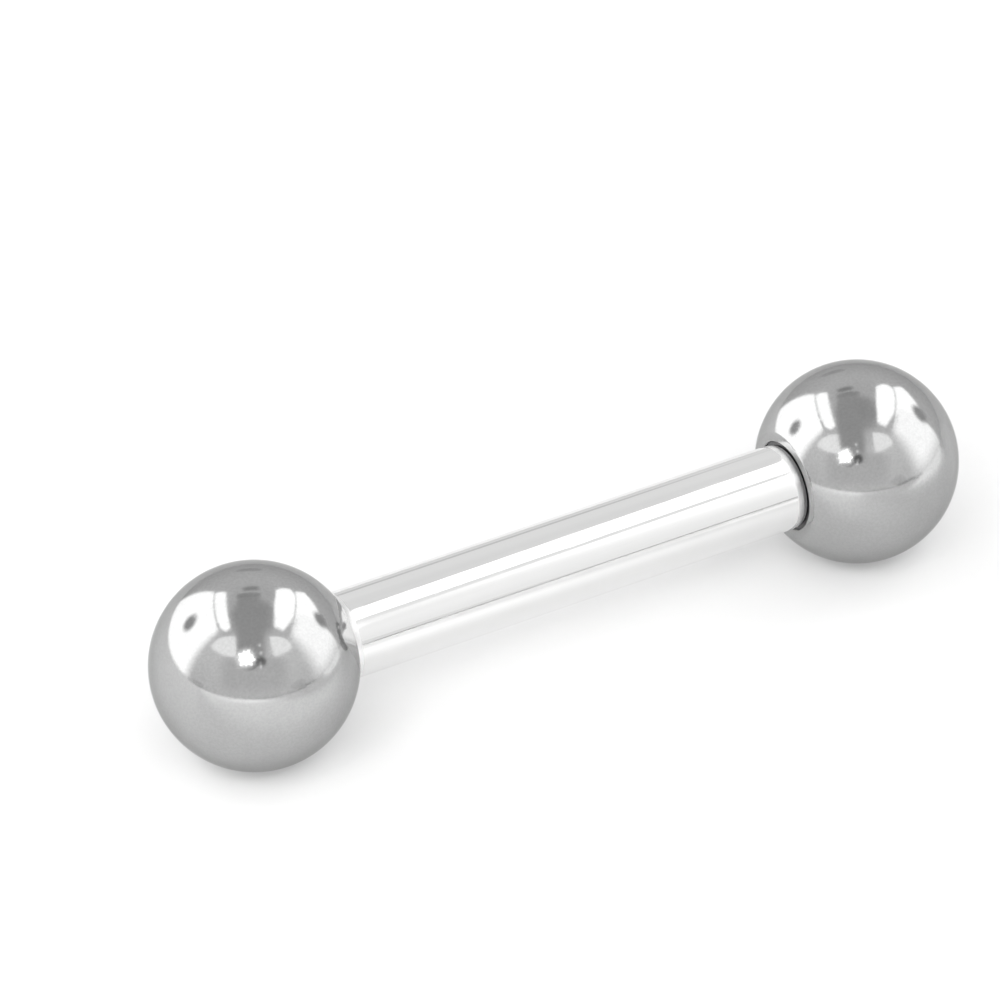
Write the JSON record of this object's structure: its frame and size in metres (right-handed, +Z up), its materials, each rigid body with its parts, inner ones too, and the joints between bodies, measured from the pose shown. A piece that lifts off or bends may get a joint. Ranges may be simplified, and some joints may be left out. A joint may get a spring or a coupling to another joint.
{
  "type": "nipple barbell",
  "caption": "Straight polished metal barbell for a nipple piercing, with a darker grey screw-on ball at each end of a round bar.",
  "frame": {"origin": "on the surface that both balls rest on, under the middle of the bar", "axes": "+X along the bar towards the right ball, +Z up"},
  "size_m": [0.021, 0.0048, 0.0048],
  "materials": {
    "bar_steel": "mirror-polished surgical steel",
    "ball_grey": "mirror-polished grey metal"
  },
  "bodies": {
    "bar": {"bar": "bar_steel"},
    "left_ball": {"ball_left": "ball_grey"},
    "right_ball": {"ball_right": "ball_grey"}
  },
  "joints": [
    {"name": "left_ball_unscrews", "type": "slide", "parent": "bar", "child": "left_ball", "axis": [-1, 0, 0], "range_m": [0, 0.006]},
    {"name": "right_ball_unscrews", "type": "slide", "parent": "bar", "child": "right_ball", "axis": [1, 0, 0], "range_m": [0, 0.006]}
  ]
}
